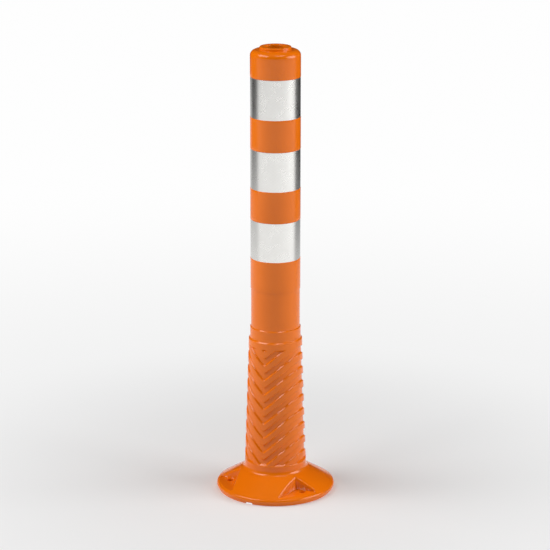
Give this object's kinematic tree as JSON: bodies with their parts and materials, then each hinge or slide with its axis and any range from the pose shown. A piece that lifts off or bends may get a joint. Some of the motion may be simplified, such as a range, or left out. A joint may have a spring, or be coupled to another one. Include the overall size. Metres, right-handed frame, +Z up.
{
  "type": "delineator post",
  "caption": "Flexible road delineator post: hollow orange elastomer moulding with a bolt-down foot, a chevron-ribbed bending neck, silver reflective bands and a socket in the top.",
  "frame": {"origin": "centre of the foot's underside, on the ground, under the post's axis", "axes": "+Z up along the post, -Y is the front, +X is the right of someone who faces the post's back"},
  "size_m": [0.1972, 0.1972, 0.75],
  "materials": {
    "post_elastomer": "smooth moulded polyurethane elastomer, satin to glossy",
    "reflective_film": "silver-white retroreflective film"
  },
  "bodies": {
    "foot": {"base_flange": "post_elastomer"},
    "neck_1": {"neck_segment_1": "post_elastomer"},
    "neck_2": {"neck_segment_2": "post_elastomer"},
    "neck_3": {"neck_segment_3": "post_elastomer"},
    "tube": {"post_tube": "post_elastomer", "reflective_band_top": "reflective_film", "reflective_band_middle": "reflective_film", "reflective_band_bottom": "reflective_film"}
  },
  "joints": [
    {"name": "bend_right", "type": "hinge", "parent": "foot", "child": "neck_1", "pos_m": [0, 0, 0.078], "axis": [0.7071, 0.7071, 0], "range_deg": [-32.8, 32.8], "stiffness_Nm_per_rad": 80, "deforming": ["neck_segment_1"]},
    {"name": "bend_left", "type": "hinge", "parent": "neck_1", "child": "neck_2", "pos_m": [0, 0, 0.128], "axis": [0.7071, -0.7071, 0], "range_deg": [-32.8, 32.8], "stiffness_Nm_per_rad": 80, "deforming": ["neck_segment_2"]},
    {"name": "bend_left_upper", "type": "hinge", "parent": "neck_2", "child": "neck_3", "pos_m": [0, 0, 0.178], "axis": [0.7071, -0.7071, 0], "range_deg": [-32.8, 32.8], "stiffness_Nm_per_rad": 80, "deforming": ["neck_segment_3"]},
    {"name": "bend_right_upper", "type": "hinge", "parent": "neck_3", "child": "tube", "pos_m": [0, 0, 0.228], "axis": [0.7071, 0.7071, 0], "range_deg": [-32.8, 32.8], "stiffness_Nm_per_rad": 80}
  ],
  "couplings": [
    {"joint": "bend_right_upper", "follows": "bend_right", "ratio": 1},
    {"joint": "bend_left_upper", "follows": "bend_left", "ratio": 1}
  ]
}
